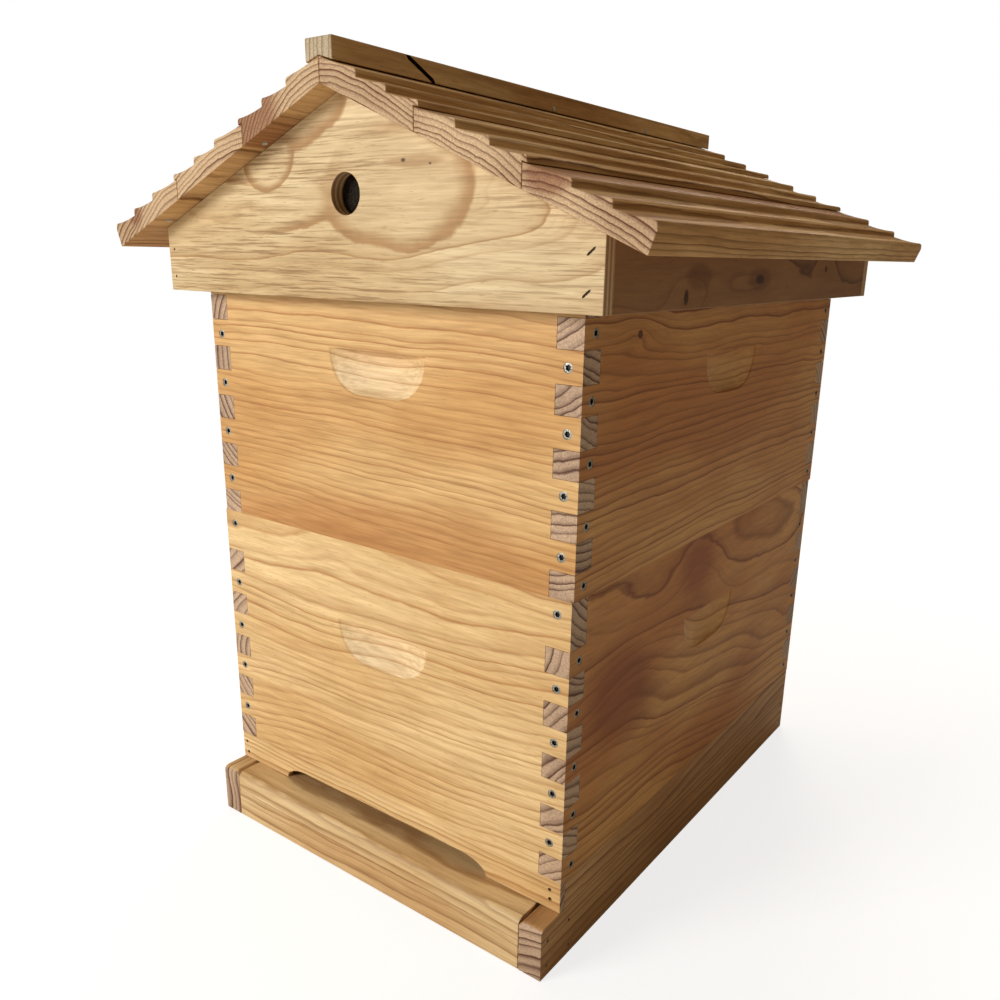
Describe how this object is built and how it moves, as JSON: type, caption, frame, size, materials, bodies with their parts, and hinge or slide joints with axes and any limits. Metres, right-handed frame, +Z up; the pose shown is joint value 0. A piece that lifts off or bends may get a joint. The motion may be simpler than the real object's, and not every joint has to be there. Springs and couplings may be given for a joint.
{
  "type": "beehive",
  "caption": "Stacked wooden beehive: base with landing board and entrance, finger-jointed boxes holding frames, inner cover and a vented gable roof of stepped slats.",
  "frame": {"origin": "on the ground, under the centre of the roof's slats", "axes": "+X to the right of someone facing the entrance, +Y from the entrance to the rear, +Z up"},
  "size_m": [0.547, 0.6125, 0.7067],
  "materials": {
    "base_pine": "planed, bare",
    "pale_pine": "planed, bare",
    "brood_pine": "planed, bare",
    "super_pine": "planed, bare",
    "frame_wood": "planed, bare, with a wax foundation sheet",
    "cover_plywood": "sanded plywood",
    "roof_pine": "planed, oiled",
    "gable_plywood": "sanded plywood",
    "apron_plywood": "sanded plywood",
    "vent_wire": "woven insect screen"
  },
  "bodies": {
    "base": {"base_rail_left": "base_pine", "base_rail_right": "base_pine", "landing_board": "pale_pine", "floor_board_1": "base_pine", "floor_board_2": "base_pine", "floor_board_3": "base_pine", "cross_rail_front": "base_pine", "cross_rail_rear": "base_pine", "rim_front": "pale_pine", "rim_left": "base_pine", "rim_right": "base_pine", "rim_rear": "base_pine"},
    "brood_box": {"brood_front": "brood_pine", "brood_rear": "brood_pine", "brood_left": "brood_pine", "brood_right": "brood_pine"},
    "brood_frames": {"brood_frame_01": "frame_wood", "brood_frame_02": "frame_wood", "brood_frame_03": "frame_wood", "brood_frame_04": "frame_wood", "brood_frame_05": "frame_wood", "brood_frame_06": "frame_wood", "brood_frame_07": "frame_wood", "brood_frame_08": "frame_wood", "brood_frame_09": "frame_wood", "brood_frame_10": "frame_wood"},
    "super_box": {"super_front": "super_pine", "super_rear": "super_pine", "super_left": "super_pine", "super_right": "super_pine"},
    "super_frames": {"super_frame_01": "frame_wood", "super_frame_02": "frame_wood", "super_frame_03": "frame_wood", "super_frame_04": "frame_wood", "super_frame_05": "frame_wood", "super_frame_06": "frame_wood", "super_frame_07": "frame_wood", "super_frame_08": "frame_wood", "super_frame_09": "frame_wood", "super_frame_10": "frame_wood"},
    "inner_cover": {"cover_panel": "cover_plywood", "cover_batten_left": "cover_plywood", "cover_batten_right": "cover_plywood", "cover_batten_front": "cover_plywood", "cover_batten_rear": "cover_plywood"},
    "roof": {"roof_slat_left_1": "roof_pine", "roof_slat_left_2": "roof_pine", "roof_slat_left_3": "roof_pine", "roof_slat_right_1": "roof_pine", "roof_slat_right_2": "roof_pine", "roof_slat_right_3": "roof_pine", "ridge_cap": "roof_pine", "gable_front": "gable_plywood", "gable_rear": "gable_plywood", "apron_left": "apron_plywood", "apron_right": "apron_plywood", "vent_mesh_front": "vent_wire", "vent_mesh_rear": "vent_wire", "roof_batten_front": "base_pine", "roof_batten_rear": "base_pine"}
  },
  "joints": [
    {"name": "lift_brood_box", "type": "slide", "parent": "base", "child": "brood_box", "axis": [0, 0, 1], "range_m": [0, 0.35]},
    {"name": "lift_brood_frames", "type": "slide", "parent": "brood_box", "child": "brood_frames", "axis": [0, 0, 1], "range_m": [0, 0.35]},
    {"name": "lift_super_box", "type": "slide", "parent": "brood_frames", "child": "super_box", "axis": [0, 0, 1], "range_m": [0, 0.35]},
    {"name": "lift_super_frames", "type": "slide", "parent": "super_box", "child": "super_frames", "axis": [0, 0, 1], "range_m": [0, 0.35]},
    {"name": "lift_inner_cover", "type": "slide", "parent": "super_frames", "child": "inner_cover", "axis": [0, 0, 1], "range_m": [0, 0.15]},
    {"name": "lift_roof", "type": "slide", "parent": "inner_cover", "child": "roof", "axis": [0, 0, 1], "range_m": [0, 0.35]}
  ]
}
